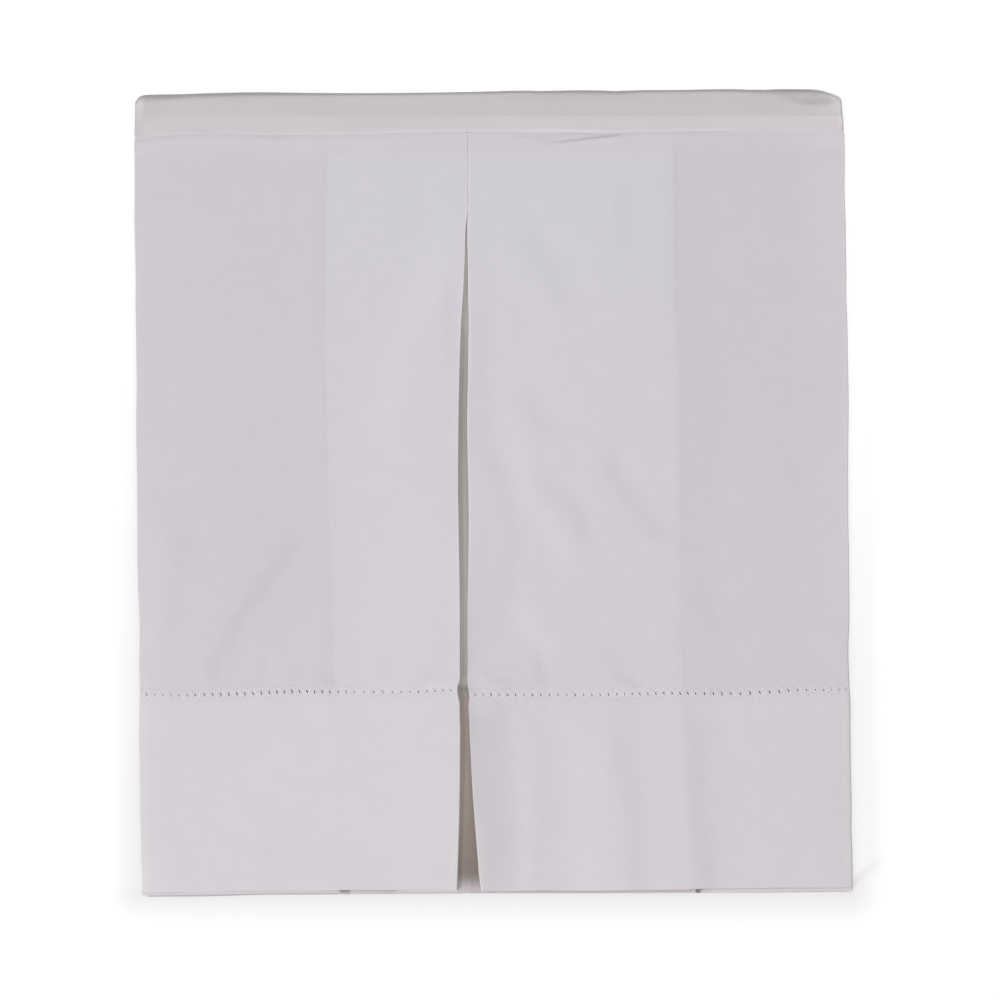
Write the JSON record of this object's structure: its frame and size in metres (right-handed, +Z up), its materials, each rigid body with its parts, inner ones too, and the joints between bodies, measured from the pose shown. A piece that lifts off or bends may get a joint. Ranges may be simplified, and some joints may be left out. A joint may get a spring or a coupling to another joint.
{
  "type": "bed skirt",
  "caption": "Tailored bed skirt folded flat: plain deck cloth folded back and forth under a drop panel with an inverted pleat and a deep hemstitched hem.",
  "frame": {"origin": "bottom centre of the folded bundle, on the surface that it lies on", "axes": "+Z up from the surface, +Y from the hem edge towards the rolled-over deck cloth at the top, +X to the right as the drop panel is seen from above"},
  "size_m": [0.3608, 0.4056, 0.0196],
  "materials": {
    "deck_cloth": "plain off-white cotton deck cloth, matt",
    "skirt_cloth": "pressed white cotton percale, matt, very fine plain weave"
  },
  "bodies": {
    "root": {"platform": "deck_cloth", "drop_panel": "skirt_cloth"}
  },
  "joints": []
}
